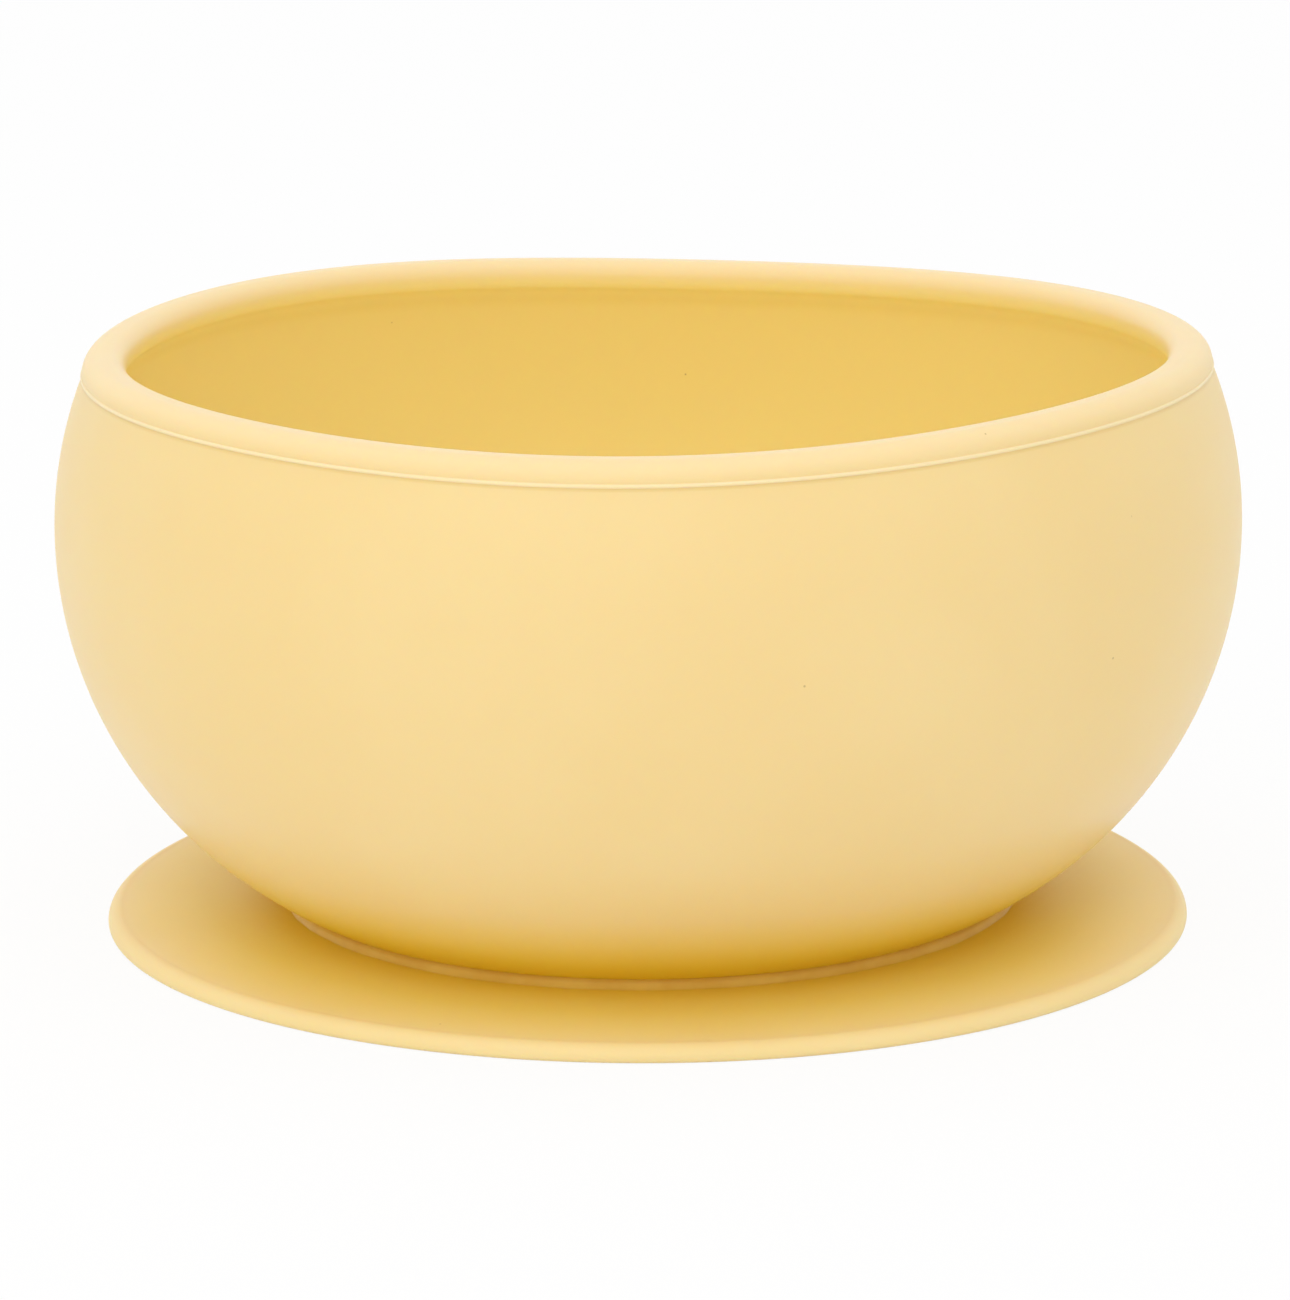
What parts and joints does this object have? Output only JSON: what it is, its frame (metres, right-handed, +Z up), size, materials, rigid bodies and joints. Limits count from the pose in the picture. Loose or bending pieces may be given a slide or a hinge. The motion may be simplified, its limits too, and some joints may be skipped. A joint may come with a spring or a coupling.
{
  "type": "suction bowl",
  "caption": "Round-bellied silicone weaning bowl with a thick rolled rim, bonded to a thin suction disc that grips a smooth table when the bowl is pressed down.",
  "frame": {"origin": "on the bowl's axis, in the plane of the table under the suction disc's sealing ring", "axes": "+Z up along the bowl's axis of revolution; X and Y lie in the table's plane and are alike"},
  "size_m": [0.12, 0.12, 0.0586],
  "materials": {
    "base_silicone": "satin matte silicone, pale yellow",
    "bead_adhesive": "semi-gloss cured silicone adhesive, pale greyish yellow",
    "bowl_silicone": "satin matte silicone, pale yellow"
  },
  "bodies": {
    "disc_body": {"suction_base": "base_silicone"},
    "bowl_body": {"bowl": "bowl_silicone", "bond_bead": "bead_adhesive"}
  },
  "joints": [
    {"name": "press_down", "type": "slide", "parent": "disc_body", "child": "bowl_body", "axis": [0, 0, 1], "range_m": [-0.0009, 0], "stiffness_N_per_m": 8000, "deforming": ["suction_base"]}
  ]
}
